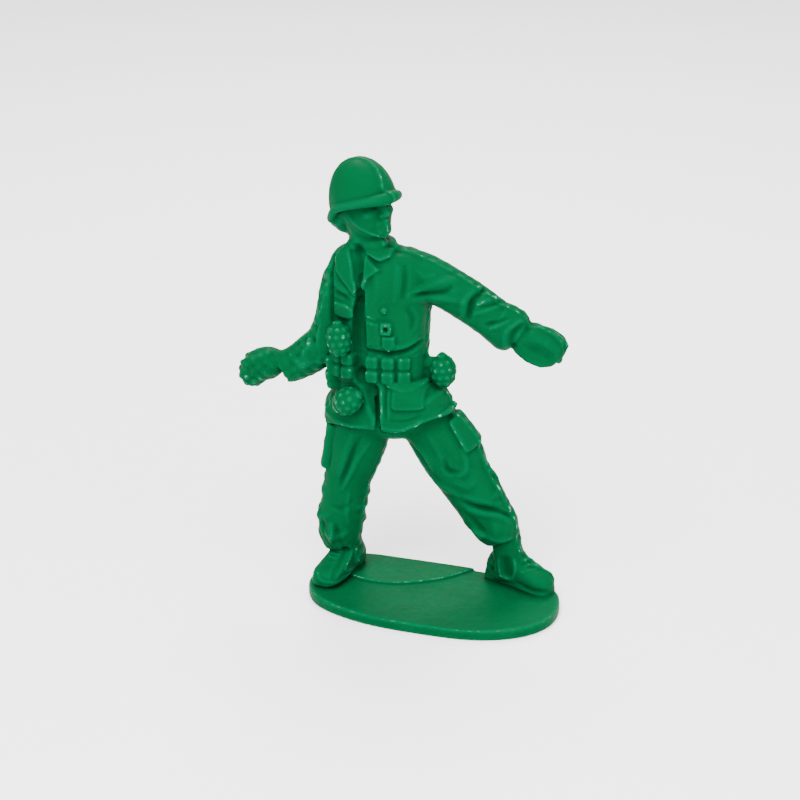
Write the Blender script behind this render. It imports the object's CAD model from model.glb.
"""The looks of a 54 mm moulded plastic toy soldier, a grenade thrower on an oval base.

The figure is one piece of polyethylene, so its surface is made as one too: every
sculpted region is a field of distances on one grid, the regions are joined with
small fillets, and the skin of the whole is cut up again into one piece for each CAD
node. A piece is closed inside the figure where a plain cone does it. Lengths are in
millimetres until a mesh is written, and +Z is up.
The chest faces -Y. "Right" and "left" are the soldier's own.
"""

import math

import bpy
import numpy as np
import openvdb as vdb
from mathutils import Matrix, Vector


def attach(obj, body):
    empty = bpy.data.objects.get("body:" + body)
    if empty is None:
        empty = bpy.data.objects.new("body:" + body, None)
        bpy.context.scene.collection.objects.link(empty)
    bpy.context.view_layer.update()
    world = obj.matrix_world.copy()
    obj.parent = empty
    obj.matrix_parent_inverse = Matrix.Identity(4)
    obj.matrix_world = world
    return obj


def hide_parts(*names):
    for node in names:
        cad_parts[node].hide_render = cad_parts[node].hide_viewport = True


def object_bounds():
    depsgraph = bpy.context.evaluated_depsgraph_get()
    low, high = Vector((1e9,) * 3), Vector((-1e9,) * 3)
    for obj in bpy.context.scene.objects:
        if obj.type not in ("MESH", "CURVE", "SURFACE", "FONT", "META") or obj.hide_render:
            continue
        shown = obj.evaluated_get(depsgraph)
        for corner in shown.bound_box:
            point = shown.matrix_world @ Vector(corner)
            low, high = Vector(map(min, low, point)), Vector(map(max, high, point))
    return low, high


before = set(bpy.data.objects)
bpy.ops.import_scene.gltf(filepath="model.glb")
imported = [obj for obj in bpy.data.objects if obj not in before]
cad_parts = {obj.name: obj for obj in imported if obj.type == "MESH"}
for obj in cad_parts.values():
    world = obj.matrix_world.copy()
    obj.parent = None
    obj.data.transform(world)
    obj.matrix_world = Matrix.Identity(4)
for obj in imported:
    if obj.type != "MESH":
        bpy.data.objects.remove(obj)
CAD_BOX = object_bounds()

MM = 0.001
STEP = 0.14  # pitch of the grid
BAND = 1.5  # distances are kept up to this far from a surface
SIDES = 72  # points round a ring
ROWS = 10  # rings between two stations of a loft
UPRIGHT_SQUARENESS = 2.3
LIMB_SQUARENESS = 2.2
UP = Vector((0.0, 0.0, 1.0))
MARGIN = 1.0  # of the grid round the CAD's box
LOW = np.array(CAD_BOX[0]) / MM - MARGIN
HIGH = np.array(CAD_BOX[1]) / MM + MARGIN
FIRST = np.floor(LOW / STEP).astype(int)
LAST = np.ceil(HIGH / STEP).astype(int)
NAMES = sorted(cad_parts)


# Fields of distances


def smooth_min(a, b, blend):
    if blend <= 0:
        return np.minimum(a, b)
    over = np.maximum(blend - np.abs(a - b), 0) / blend
    return np.minimum(a, b) - over * over * (blend / 4)


class Field:
    """Signed distances, negative inside, on a box of the grid."""

    def __init__(self, low, high):
        low = np.floor(np.array(low, float) / STEP).astype(int)
        high = np.ceil(np.array(high, float) / STEP).astype(int)
        self.first = np.clip(low, FIRST, LAST)
        self.last = np.clip(high, self.first, LAST)
        self.d = np.full(self.last - self.first + 1, BAND, np.float32)

    def axes(self):
        """The coordinates of the grid's points, ready to broadcast."""
        made = []
        for axis in range(3):
            shape = [1, 1, 1]
            shape[axis] = -1
            line = np.arange(self.first[axis], self.last[axis] + 1, dtype=np.float32) * STEP
            made.append(line.reshape(shape))
        return made

    def shared(self, other):
        """Slices of this field and of another over the box that they share."""
        first = np.maximum(self.first, other.first)
        last = np.minimum(self.last, other.last)
        if (last < first).any():
            return None, None
        mine = tuple(slice(a, b + 1) for a, b in zip(first - self.first, last - self.first))
        its = tuple(slice(a, b + 1) for a, b in zip(first - other.first, last - other.first))
        return mine, its

    def join(self, other, blend=0.0):
        mine, its = self.shared(other)
        if mine:
            self.d[mine] = smooth_min(self.d[mine], other.d[its], blend)
        return self

    def cut(self, other, blend=0.0):
        mine, its = self.shared(other)
        if mine:
            self.d[mine] = -smooth_min(-self.d[mine], other.d[its], blend)
        return self

    def meet(self, other, blend=0.0):
        """What lies inside both, for a field whose box lies inside the other's."""
        mine, its = self.shared(other)
        self.d[mine] = -smooth_min(-self.d[mine], -other.d[its], blend)
        return self

    def grown(self, by):
        made = self.copy()
        made.d -= by
        return made

    def copy(self):
        made = Field.__new__(Field)
        made.first, made.last, made.d = self.first.copy(), self.last.copy(), self.d.copy()
        return made


def bounds_of(points, margin):
    points = np.array([tuple(p) for p in points], float)
    return points.min(0) - margin, points.max(0) + margin


def length(*parts):
    return np.sqrt(sum(part * part for part in parts))


def local(field, centre, turn):
    """The grid's points in axes that are turned and centred."""
    x, y, z = field.axes()
    x, y, z = x - centre[0], y - centre[1], z - centre[2]
    return [turn[0][k] * x + turn[1][k] * y + turn[2][k] * z for k in range(3)]


def box_field(centre, half, turn, reach):
    corners = [
        Vector(centre) + turn @ Vector((half[0] * a, half[1] * b, half[2] * c))
        for a in (-1, 1) for b in (-1, 1) for c in (-1, 1)
    ]
    return Field(*bounds_of(corners, reach))


def block(centre, size, turn=None, rounding=0.25, reach=0.8):
    """A box with rounded edges."""
    turn = turn or Matrix.Identity(3)
    half = [s / 2 for s in size]
    made = box_field(centre, half, turn, reach)
    q = [np.abs(p) - (h - rounding) for p, h in zip(local(made, centre, turn), half)]
    outside = length(*[np.maximum(p, 0) for p in q])
    inside = np.minimum(np.maximum(np.maximum(q[0], q[1]), q[2]), 0)
    made.d = np.minimum(outside + inside - rounding, BAND).astype(np.float32)
    return made


def ellipsoid(centre, half, turn=None, reach=0.8):
    turn = turn or Matrix.Identity(3)
    made = box_field(centre, half, turn, reach)
    p = local(made, centre, turn)
    near = length(*[q / h for q, h in zip(p, half)])
    steep = length(*[q / (h * h) for q, h in zip(p, half)])
    made.d = np.minimum(near * (near - 1) / np.maximum(steep, 1e-4), BAND).astype(np.float32)
    return made


def rod(points, radii, reach=0.8):
    """A chain of round rods through these points, with a radius at each."""
    points = [np.array(tuple(p), float) for p in points]
    if not hasattr(radii, "__len__"):
        radii = [radii] * len(points)
    made = Field(*bounds_of(points, max(radii) + reach))
    for a, b, first, second in zip(points, points[1:], radii, radii[1:]):
        piece = Field(*bounds_of((a, b), max(first, second) + reach))
        x, y, z = piece.axes()
        way = b - a
        far = max(float(way @ way), 1e-9)
        t = ((x - a[0]) * way[0] + (y - a[1]) * way[1] + (z - a[2]) * way[2]) / far
        t = np.clip(t, 0, 1)
        away = length(x - a[0] - t * way[0], y - a[1] - t * way[1], z - a[2] - t * way[2])
        piece.d = np.minimum(away - first - t * (second - first), BAND).astype(np.float32)
        made.join(piece)
    return made


def curve_rows(rows, steps):
    """Rows of numbers with a Catmull-Rom curve through each column."""
    rows = np.array([tuple(row) for row in rows], float)
    made = []
    for i in range(len(rows) - 1):
        a, b = rows[max(i - 1, 0)], rows[i]
        c, d = rows[i + 1], rows[min(i + 2, len(rows) - 1)]
        for k in range(steps):
            t = k / steps
            made.append(0.5 * (2 * b + (c - a) * t + (2 * a - 5 * b + 4 * c - d) * t**2
                               + (3 * b - a - 3 * c + d) * t**3))
    made.append(rows[-1])
    return np.array(made)


def closed_curve(points, steps):
    count = len(points)
    wrapped = [points[(i - 1) % count] for i in range(count + 3)]
    return curve_rows(wrapped, steps)[steps:-steps - 1]


def polygon_distance(u, v, outline):
    """Signed distance to a flat outline, on broadcasting coordinates."""
    best = None
    inside = None
    count = len(outline)
    for k in range(count):
        ax, ay = outline[k]
        bx, by = outline[(k + 1) % count]
        wx, wy = bx - ax, by - ay
        t = np.clip(((u - ax) * wx + (v - ay) * wy) / (wx * wx + wy * wy + 1e-9), 0, 1)
        away = (u - ax - t * wx) ** 2 + (v - ay - t * wy) ** 2
        best = away if best is None else np.minimum(best, away)
        crosses = ((ay > v) != (by > v)) & (u < (bx - ax) * (v - ay) / ((by - ay) or 1e-9) + ax)
        inside = crosses if inside is None else inside ^ crosses
    return np.where(inside, -1, 1) * np.sqrt(best)


def from_mesh(points, quads, triangles):
    grid = vdb.FloatGrid.createLevelSetFromPolygons(
        np.ascontiguousarray(points, np.float32),
        triangles=np.ascontiguousarray(triangles, np.uint32),
        quads=np.ascontiguousarray(quads, np.uint32),
        transform=vdb.createLinearTransform(voxelSize=STEP), halfWidth=BAND / STEP,
    )
    made = Field(*bounds_of(points, BAND))
    grid.copyToArray(made.d, ijk=tuple(int(i) for i in made.first))
    return made


def skin(rings):
    """A solid over rings of equal counts."""
    rings = np.array(rings, float)
    count, sides = rings.shape[:2]
    index = np.arange(count * sides).reshape(count, sides)
    after = np.roll(index, -1, axis=1)
    quads = np.stack([index[:-1], after[:-1], after[1:], index[1:]], -1).reshape(-1, 4)
    points = np.concatenate([rings.reshape(-1, 3), [rings[0].mean(0), rings[-1].mean(0)]])
    first, last = len(points) - 2, len(points) - 1
    caps = [np.stack([np.full(sides, first), after[0], index[0]], -1),
            np.stack([np.full(sides, last), index[-1], after[-1]], -1)]
    a, b, c = (points[quads[:, k]] for k in range(3))
    volume = np.einsum("ij,ij->i", a, np.cross(b, c)).sum()
    triangles = np.concatenate(caps)
    if volume < 0:
        quads, triangles = quads[:, ::-1], triangles[:, ::-1]
    return from_mesh(points, quads, triangles)


def ring(centre, across, deep, half_width, half_depth, squareness):
    """Points of a superellipse round centre: 2 is an ellipse, and more is squarer."""
    angle = np.arange(SIDES) * (math.tau / SIDES)
    c, s = np.cos(angle), np.sin(angle)
    power = 2 / squareness
    u = np.sign(c) * np.abs(c) ** power * half_width
    v = np.sign(s) * np.abs(s) ** power * half_depth
    return np.array(centre) + u[:, None] * np.array(across) + v[:, None] * np.array(deep)


def upright(stations, shape=None):
    """A loft of level rings: x, y, z, half width, half depth."""
    rings = []
    for x, y, z, half_width, half_depth in curve_rows(stations, ROWS):
        one = ring((x, y, z), (1, 0, 0), (0, 1, 0), half_width, half_depth, UPRIGHT_SQUARENESS)
        rings.append(shape(one) if shape else one)
    return skin(rings)


LIMB_SKEW = 0.18  # the arms and legs lie in the plane y = LIMB_Y + LIMB_SKEW * x
LIMB_Y = 4.6
LIMB_NORMAL = Vector((-LIMB_SKEW, 1.0, 0.0)).normalized()


def on_limb_plane(x, z, forward=0.0):
    return Vector((x, LIMB_Y + LIMB_SKEW * x - forward, z))


def limb(stations, grow=0.0, forward=0.0):
    """A loft along a path in the limb plane: x, z, half width, half depth."""
    rows = curve_rows(stations, ROWS)
    centres = [on_limb_plane(x, z, forward) for x, z, _, _ in rows]
    rings = []
    for i, (_, _, half_width, half_depth) in enumerate(rows):
        ahead = centres[min(i + 1, len(rows) - 1)] - centres[max(i - 1, 0)]
        across = LIMB_NORMAL.cross(ahead.normalized()).normalized()
        half = half_width + grow, half_depth + grow
        rings.append(ring(centres[i], across, LIMB_NORMAL, *half, LIMB_SQUARENESS))
    return skin(rings)


def turned_axes(yaw=0.0, pitch=0.0, roll=0.0):
    """Rotation about Z (yaw), then about the turned X (pitch) and Y (roll), in degrees."""
    return (
        Matrix.Rotation(math.radians(yaw), 3, "Z")
        @ Matrix.Rotation(math.radians(pitch), 3, "X")
        @ Matrix.Rotation(math.radians(roll), 3, "Y")
    )


# The whole figure, and the region that each point of the grid belongs to

whole = Field(LOW, HIGH)
owner = np.zeros(whole.d.shape, np.int16)


def put(field, name, blend=0.3):
    """Joins a region to the figure and labels what it covers."""
    mine, its = whole.shared(field)
    nearer = field.d[its] < whole.d[mine]
    owner[mine] = np.where(nearer, NAMES.index(name), owner[mine])
    whole.join(field, blend)


def sample(field, points):
    """Distances at any points, by trilinear interpolation."""
    place = np.atleast_2d(np.array(points, float)) / STEP - field.first
    place = np.clip(place, 0, np.array(field.d.shape) - 1.001)
    cell = place.astype(int)
    share = place - cell
    total = 0
    for corner in range(8):
        bit = np.array([corner & 1, corner >> 1 & 1, corner >> 2 & 1])
        weight = np.prod(np.where(bit, share, 1 - share), axis=1)
        at = cell + bit
        total = total + weight * field.d[at[:, 0], at[:, 1], at[:, 2]]
    return total


def surface(start, way, field=None):
    """Where a line from start first meets the figure, and the outward direction there."""
    field = field or whole
    start = np.array(tuple(start), float)
    way = np.array(tuple(way), float)
    along = np.arange(0, 40, STEP / 2)
    values = sample(field, start + along[:, None] * way)
    inside = np.nonzero(values < 0)[0]
    k = int(inside[0]) if len(inside) else int(values.argmin())
    back = values[k - 1] / (values[k - 1] - values[k]) if k and len(inside) else 0.0
    point = start + way * (along[max(k - 1, 0)] + back * STEP / 2)
    around = np.concatenate([np.eye(3), -np.eye(3)]) * STEP
    near = sample(field, point + around)
    out = near[:3] - near[3:]
    return Vector(point), Vector(out / max(np.linalg.norm(out), 1e-6))


def front(x, z, field=None):
    return surface((x, LOW[1], z), (0, 1, 0), field)


def behind(x, z, field=None):
    return surface((x, HIGH[1], z), (0, -1, 0), field)


STROKE_STEPS = 5
STROKE_BLEND = 0.7  # of its radius
TIP_SINK = 0.06  # how far a stroke's faded end lies under the surface


def stroke(points, radius, rise, side=front, ends=0.0):
    """A soft ridge along points of the surface, or a groove where rise is negative.
    It fades out at its ends, to the share of its rise that ends gives."""
    path = curve_rows(np.reshape(points, (-1, 2)), STROKE_STEPS)
    centres, radii = [], []
    for i, where in enumerate(path):
        t = i / (len(path) - 1)
        fade = ends + (1 - ends) * math.sin(math.pi * min(max(t, 0.0), 1.0)) ** 0.6
        here = max(radius * (0.45 + 0.55 * fade), 0.05)
        point, out = side(*where)
        height = abs(rise) * fade - TIP_SINK * (1 - fade)
        centres.append(point + out * ((height - here) if rise > 0 else (here - height)))
        radii.append(here)
    shape = whole.join if rise > 0 else whole.cut
    shape(rod(centres, radii), radius * STROKE_BLEND)


# Base

BASE_TOP = 1.3
STEP_RISE = 0.35  # how much the rear of the base is thicker
BASE_OUTLINE = (
    (-15.6, 1.2), (-15.1, -2.6), (-12.0, -6.5), (-5.6, -8.8), (2.0, -9.1), (8.6, -8.3),
    (13.4, -5.6), (15.65, -1.5), (15.35, 3.2), (13.4, 6.7), (9.0, 8.3), (2.0, 8.4),
    (-5.8, 8.2), (-12.0, 7.6), (-14.8, 5.0),
)
STEP_OUTLINE = (
    (-15.8, 1.5), (-11.4, 0.9), (-8.2, 0.1), (-4.8, 0.6), (-1.6, 2.6), (0.8, 5.2), (2.6, 9.4),
    (-1.8, 10.4), (-6.0, 10.2), (-11.8, 9.4), (-16.0, 6.8),
)


def slab(outline, low, high, rounding):
    """A flat plate with rounded edges between two heights."""
    flat = closed_curve(outline, 5)
    made = Field((LOW[0], LOW[1], low - 1.2), (HIGH[0], HIGH[1], high + 1.2))
    x, y, z = made.axes()
    side = polygon_distance(x, y, flat)
    over = np.maximum(z - high, low - z)
    a = side + rounding
    b = over + rounding
    away = length(np.maximum(a, 0), np.maximum(b, 0)) + np.minimum(np.maximum(a, b), 0) - rounding
    made.d = np.clip(away, -BAND, BAND).astype(np.float32)
    return made


def base():
    plate = slab(BASE_OUTLINE, -1.0, BASE_TOP, 0.32)
    rear = slab(STEP_OUTLINE, 0.4, BASE_TOP + STEP_RISE, 0.1)
    rear.meet(slab(BASE_OUTLINE, -1.0, BASE_TOP + STEP_RISE, 0.3), 0.0)
    plate.join(rear, 0.12)
    x, y, z = plate.axes()
    # A shallow dish in front of the step, and the soft waves of a moulded sheet
    plate.d += 0.03 * np.sin(x * 0.5 + 1.0) * np.cos(y * 0.55) * (z > 0.7)
    plate.d = np.maximum(plate.d, -z)
    put(plate, "base_plate", 0.0)


# Boots

# Along the foot from the heel: distance, half width, height
FOOT = (
    (-0.1, 1.0, 1.8), (0.6, 1.5, 2.9), (2.4, 1.65, 3.4), (4.4, 1.7, 3.0), (6.2, 1.85, 2.35),
    (7.9, 1.75, 1.9), (8.8, 1.25, 1.45), (9.15, 0.6, 0.9),
)
SOLE_TRIM = 0.3
SOLE_LEDGE = 0.16  # how far the sole stands out
SOLE_HEIGHT = 0.62
LACES = 5
# Where each heel stands, the way its toe points, and how tall the boot's foot is
FEET = {
    "right": (Vector((-12.0, 5.2, BASE_TOP + STEP_RISE)), Vector((-0.1, -1.0, 0.0)).normalized(), 1.0),
    "left": (Vector((4.9, 7.5, BASE_TOP)), Vector((1.0, -0.3, 0.0)).normalized(), 1.25),
}
# Stations of each shaft, and how far it lies behind the limb plane
BOOT_SHAFT = {
    "right": (((-12.5, 5.9, 1.85, 1.95), (-12.4, 4.2, 1.85, 1.95), (-12.3, 2.3, 1.75, 1.9)), 0.5),
    "left": (((6.9, 8.4, 1.8, 1.95), (7.6, 5.2, 1.75, 1.85), (8.1, 2.6, 2.0, 1.6)), 0.3),
}
# Seams in X and Z on the front of each boot
BOOT_LINES = {
    "right": (
        ((-11.1, 5.4, -10.9, 3.8, -10.7, 2.1), 0.2, 0.2),
        ((-11.7, 4.8, -11.5, 3.6, -11.4, 2.6), 0.4, -0.2),
        ((-13.5, 3.2, -12.9, 2.4, -11.4, 2.3), 0.2, 0.12),
    ),
    "left": (
        ((8.0, 5.0, 8.1, 4.2, 8.2, 3.3), 0.8, -0.4),
        ((7.0, 5.0, 7.1, 3.6, 7.4, 2.8, 8.6, 2.6), 0.22, 0.18),
        ((8.9, 5.1, 9.2, 3.9, 8.9, 2.7), 0.22, 0.22),
        ((9.5, 2.5, 11.8, 2.1, 13.5, 1.9), 0.3, -0.18),
    ),
}


def foot_rings(side, ledge=0.0):
    heel, way, rise = FEET[side]
    across = UP.cross(way)
    rings = []
    for along, half_width, height in curve_rows(FOOT, 6):
        half_height = (height * rise + SOLE_TRIM) / 2
        centre = heel + way * along + UP * (half_height - SOLE_TRIM)
        one = ring(centre, across, UP, half_width + ledge, half_height, 2.8)
        one[:, 2] = np.maximum(one[:, 2], heel.z - 0.1)
        rings.append(one)
    return rings


def boot(side):
    heel, way, _ = FEET[side]
    across = UP.cross(way)
    upper = skin(foot_rings(side))
    stations, backward = BOOT_SHAFT[side]
    shaft = limb(stations, forward=-backward)
    made = Field(np.minimum(upper.first, shaft.first) * STEP, np.maximum(upper.last, shaft.last) * STEP)
    made.join(upper)
    made.join(shaft, 0.8)
    sole = skin(foot_rings(side, SOLE_LEDGE))
    z = sole.axes()[2]
    sole.d = np.maximum(sole.d, z - (heel.z + SOLE_HEIGHT)).astype(np.float32)
    made.join(sole, 0.08)
    # Laces are short bars over the instep
    top = lambda a, s: surface(heel + way * a + across * s + UP * 9.0, (0, 0, -1), made)
    for k in range(LACES):
        along = 3.3 + 0.62 * k
        points = [top(along + 0.12 * math.cos(s * 2), s) for s in (-0.75, -0.35, 0.0, 0.35, 0.75)]
        made.join(rod([p + n * 0.02 for p, n in points], 0.13, 0.4), 0.12)
    cap = [top(6.9 - 0.5 * abs(s) ** 1.5, s) for s in (-1.5, -0.9, 0.0, 0.9, 1.5)]
    made.join(rod([p - n * 0.06 for p, n in cap], 0.13, 0.4), 0.15)
    put(made, "boot_" + side, 0.15)
    for points, radius, rise in BOOT_LINES[side]:
        stroke(points, radius, rise, ends=0.6)


# Trousers

TROUSER = {
    "right": (
        (-9.9, 21.9, 3.7, 3.1), (-10.95, 17.5, 3.35, 3.0), (-11.95, 14.0, 2.9, 2.75),
        (-12.4, 11.4, 2.75, 2.6), (-12.8, 8.6, 2.75, 2.6), (-12.85, 6.2, 2.5, 2.5), (-12.65, 4.9, 2.1, 2.1),
    ),
    "left": (
        (-2.6, 22.5, 3.3, 2.9), (0.6, 17.9, 3.75, 3.0), (2.2, 15.1, 3.3, 2.85),
        (3.8, 12.6, 3.05, 2.7), (5.4, 10.1, 2.85, 2.6), (6.4, 8.5, 2.65, 2.5), (7.0, 7.4, 2.0, 2.1),
    ),
}
SEAT = (
    (-6.3, 3.6, 19.7, 1.4, 1.6), (-6.5, 3.6, 20.3, 3.2, 2.7), (-7.0, 3.5, 21.6, 5.2, 3.3),
    (-7.4, 3.4, 23.4, 6.0, 3.5),
)


def round_limb(side):
    """Strokes go round a trouser leg: height, and degrees from the front towards +X."""
    rows = curve_rows(TROUSER[side], 12)
    rows = rows[rows[:, 1].argsort()]

    def place(angle, z):
        x = np.interp(z, rows[:, 1], rows[:, 0])
        axis = on_limb_plane(x, z)
        turn = math.radians(angle)
        way = -LIMB_NORMAL * math.cos(turn) + Vector((LIMB_NORMAL.y, -LIMB_NORMAL.x, 0)) * math.sin(turn)
        return surface(axis + way * 6.0, -way)

    return place


def trousers():
    put(upright(SEAT), "trousers_seat", 0.0)
    for side in ("right", "left"):
        put(limb(TROUSER[side]), "trouser_leg_" + side, 0.5)


# Folds round the legs: degrees from the front and height along each, then its radius and rise
LEG_FOLDS = {
    "right": (
        ((-60, 8.0, -30, 7.0, 0, 6.7, 30, 7.4), 0.55, 0.32),
        ((-110, 10.4, -80, 9.4, -50, 9.0, -25, 9.6), 0.6, 0.34),
        ((60, 9.2, 100, 8.2, 140, 8.5), 0.5, 0.28),
        ((-100, 7.6, -80, 6.6, -60, 6.2), 0.5, 0.34),
        ((-40, 9.0, -38, 7.6, -30, 6.2), 0.4, -0.22),
        ((-15, 8.6, -12, 7.2, -14, 5.8), 0.35, 0.2),
        ((60, 12.6, 90, 11.8, 120, 12.2), 0.5, 0.26),
        ((50, 10.6, 85, 10.2, 120, 10.8), 0.45, 0.24),
        ((-100, 13.2, -75, 12.4, -45, 12.4), 0.5, 0.22),
        ((35, 11.6, 10, 10.6, -20, 10.9), 0.4, -0.16),
        ((120, 18.0, 150, 16.0, 190, 15.0), 0.5, 0.25),
        ((140, 13.0, 175, 11.6, 215, 12.0), 0.5, 0.28),
        ((150, 9.6, 185, 8.8, 220, 9.4), 0.5, 0.28),
        ((130, 6.6, 170, 6.0, 215, 6.6), 0.5, 0.25),
    ),
    "left": (
        ((-80, 9.6, -50, 8.9, -20, 8.6), 0.45, 0.2),
        ((-8, 15.3, 14, 14.8, 40, 15.4), 0.6, 0.2),
        ((-50, 20.0, -42, 18.0, -50, 16.0), 0.5, 0.22),
        ((25, 13.6, 50, 13.2, 80, 13.8), 0.5, 0.2),
        ((-70, 14.6, -45, 14.2, -20, 13.4), 0.45, 0.22),
        ((80, 17.0, 95, 15.0, 90, 13.0), 0.5, 0.24),
        ((130, 17.5, 165, 16.0, 200, 15.8), 0.55, 0.28),
        ((140, 13.5, 175, 12.4, 215, 12.6), 0.5, 0.26),
        ((130, 10.2, 170, 9.2, 215, 9.4), 0.5, 0.28),
        ((120, 7.9, 165, 7.6, 210, 7.9), 0.5, 0.25),
    ),
}
# Folds on the front of the legs: X and Z along each, then its radius and rise
FRONT_FOLDS = (
    ((-8.0, 19.7, -9.4, 17.6, -10.5, 15.3, -11.7, 13.1), 0.45, 0.25),
    ((-9.0, 20.6, -10.1, 18.3, -11.2, 15.4, -11.9, 13.3), 0.4, -0.26),
    ((-10.1, 20.8, -11.1, 18.0, -12.0, 15.0), 0.5, 0.22),
    ((-13.1, 20.9, -13.2, 18.6, -13.4, 15.6), 0.3, -0.3),
    ((-13.2, 8.6, -12.8, 7.3, -13.0, 6.0), 0.4, 0.14),
    ((-12.4, 8.4, -12.1, 6.8, -11.8, 5.2), 0.45, -0.18),
    ((-10.8, 12.8, -11.1, 10.4, -11.0, 8.4), 0.4, 0.14),
    ((2.8, 19.5, 3.4, 17.9, 3.3, 16.7, 2.6, 16.0), 0.45, 0.3),
    ((0.9, 18.3, 1.4, 16.8, 2.5, 16.7), 0.42, -0.3),
    ((2.9, 12.8, 4.9, 12.2, 7.0, 11.7, 8.6, 10.5), 0.42, -0.38),
    ((3.2, 13.5, 5.2, 13.0, 7.4, 12.4), 0.4, 0.2),
    ((3.5, 11.7, 5.6, 11.3, 7.3, 11.0, 8.5, 9.9), 0.45, 0.24),
    ((3.2, 11.3, 4.9, 9.7, 5.9, 8.5), 0.55, -0.26),
    ((6.6, 10.6, 7.0, 9.6, 7.0, 8.4), 0.6, 0.2),
    ((6.0, 8.2, 7.4, 7.9, 8.7, 8.0), 0.4, 0.3),
    ((4.1, 8.8, 5.0, 8.4, 5.9, 8.4), 0.42, 0.3),
    ((-5.8, 20.6, -4.6, 20.9, -3.2, 20.2), 0.5, 0.18),
    ((-3.4, 19.6, -1.6, 17.2, 0.2, 14.9), 0.5, -0.18),
    ((-1.2, 21.4, 0.2, 19.2, 1.0, 17.4), 0.5, 0.16),
)


def leg_details():
    for side, folds in LEG_FOLDS.items():
        place = round_limb(side)
        for points, radius, rise in folds:
            stroke(points, radius, rise, place)
    for points, radius, rise in FRONT_FOLDS:
        stroke(points, radius, rise)


def along_leg(stations):
    """Axes that lean with a leg."""
    first = on_limb_plane(stations[1][0], stations[1][1])
    last = on_limb_plane(stations[3][0], stations[3][1])
    up = (first - last).normalized()
    return Matrix((LIMB_NORMAL.cross(up).normalized(), LIMB_NORMAL, up)).transposed()


# Centre, size, and how far the pocket stands out from the leg
CARGO_POCKETS = {
    "right": ((-13.9, 1.9, 18.2), (2.2, 3.6, 5.8), 0.65),
    "left": ((3.0, 4.6, 21.5), (2.6, 6.0, 4.4), 0.42),
}


def cargo_pockets():
    """Patches that follow the outer thighs."""
    for side, (centre, size, rise) in CARGO_POCKETS.items():
        pocket = block(centre, size, along_leg(TROUSER[side]), 0.3)
        leg = limb(TROUSER[side], grow=rise)
        room = Field(pocket.first * STEP, pocket.last * STEP).join(leg)
        room.meet(pocket, 0.3)
        put(room, "cargo_pocket_" + side, 0.15)


# Jacket

BELT_TOP = 31.0
SKIRT = (
    (-6.8, 3.4, 21.8, 8.35, 4.75), (-6.9, 3.4, 23.6, 8.1, 4.5), (-6.7, 3.35, 25.6, 7.25, 4.2),
    (-7.6, 3.3, 27.0, 6.4, 4.0), (-8.1, 3.3, 27.9, 6.1, 3.9),
)
BELT = (
    (-8.2, 3.25, 27.3, 6.1, 4.0), (-8.2, 3.25, 29.3, 6.15, 4.05), (-8.15, 3.25, BELT_TOP, 6.0, 3.95),
)
TORSO = (
    (-7.95, 3.2, 30.9, 5.9, 3.8), (-7.8, 3.2, 34.0, 5.9, 4.0), (-7.85, 3.2, 37.0, 6.1, 4.2),
    (-8.1, 3.2, 39.6, 6.2, 4.0), (-8.3, 3.2, 41.3, 5.9, 3.5), (-8.5, 3.2, 42.6, 4.9, 2.9),
    (-8.8, 3.2, 43.3, 3.4, 2.3),
)
HEM_LIFT_FROM = -4.0
HEM_LIFT_SLOPE = 0.5
HEM_DROP_FROM = -11.0
HEM_DROP_SLOPE = 0.2
HEM_DEPTH = 1.6
HEM_TOP = 23.4


def hem_lift(points):
    """The hem climbs over the striding leg."""
    made = points.copy()
    share = np.clip((HEM_TOP - made[:, 2]) / HEM_DEPTH, 0, 1)
    made[:, 2] += np.maximum(made[:, 0] - HEM_LIFT_FROM, 0) * HEM_LIFT_SLOPE * share
    made[:, 2] -= np.maximum(HEM_DROP_FROM - made[:, 0], 0) * HEM_DROP_SLOPE * share
    return made


def plate(outline, on, thickness):
    """A patch with this outline in X and Z that lies on a field's front."""
    xs, zs = zip(*outline)
    made = Field((min(xs) - 1, on.first[1] * STEP, min(zs) - 1), (max(xs) + 1, PLATE_BACK, max(zs) + 1))
    x, _, z = made.axes()
    side = polygon_distance(x, z, outline)
    made.d = np.broadcast_to(side, made.d.shape).astype(np.float32).copy()
    grown = on.grown(thickness)
    mine, its = made.shared(grown)
    thick = np.full(made.d.shape, BAND, np.float32)
    thick[mine] = grown.d[its]
    made.d = -smooth_min(-made.d, -thick, PLATE_EDGE)
    return made


PLATE_BACK = 3.0  # a patch reaches back to this depth
PLATE_EDGE = 0.25
SKIRT_POCKET = ((-4.8, 24.9), (-4.8, 27.1), (-1.3, 27.3), (-1.0, 25.1), (-1.4, 24.8), (-4.4, 24.6))
SKIRT_FLAP = (
    (-5.6, 27.4), (-5.3, 27.9), (-1.5, 27.9), (-1.4, 27.5), (-2.4, 27.0), (-3.6, 26.8), (-4.6, 27.1),
)


def skirt():
    made = upright(SKIRT, shape=hem_lift)
    put(made, "jacket_skirt", 0.12)
    return made


POUCH_SIZE = Vector((1.62, 2.2, 1.6))
POUCH_RISE = 0.55
POUCH_ROUNDING = 0.45
POUCH_ROWS = (30.25, 28.45)
POUCH_COLUMNS = {"left": (-7.35, -5.45, -3.7), "right": (-10.6, -12.3)}


def facing(outward):
    """A turn about Z that brings -Y to this direction."""
    return turned_axes(yaw=math.degrees(math.atan2(outward.x, -outward.y)))


def belt_pouches(belt):
    for side, columns in POUCH_COLUMNS.items():
        number = 0
        for z in POUCH_ROWS:
            for x in columns:
                number += 1
                point, out = front(x, z, belt)
                centre = point + out * (POUCH_RISE - POUCH_SIZE.y / 2)
                pouch = block(centre, POUCH_SIZE, facing(out), POUCH_ROUNDING)
                put(pouch, f"belt_pouch_{side}_{number}", 0.2)


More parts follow.
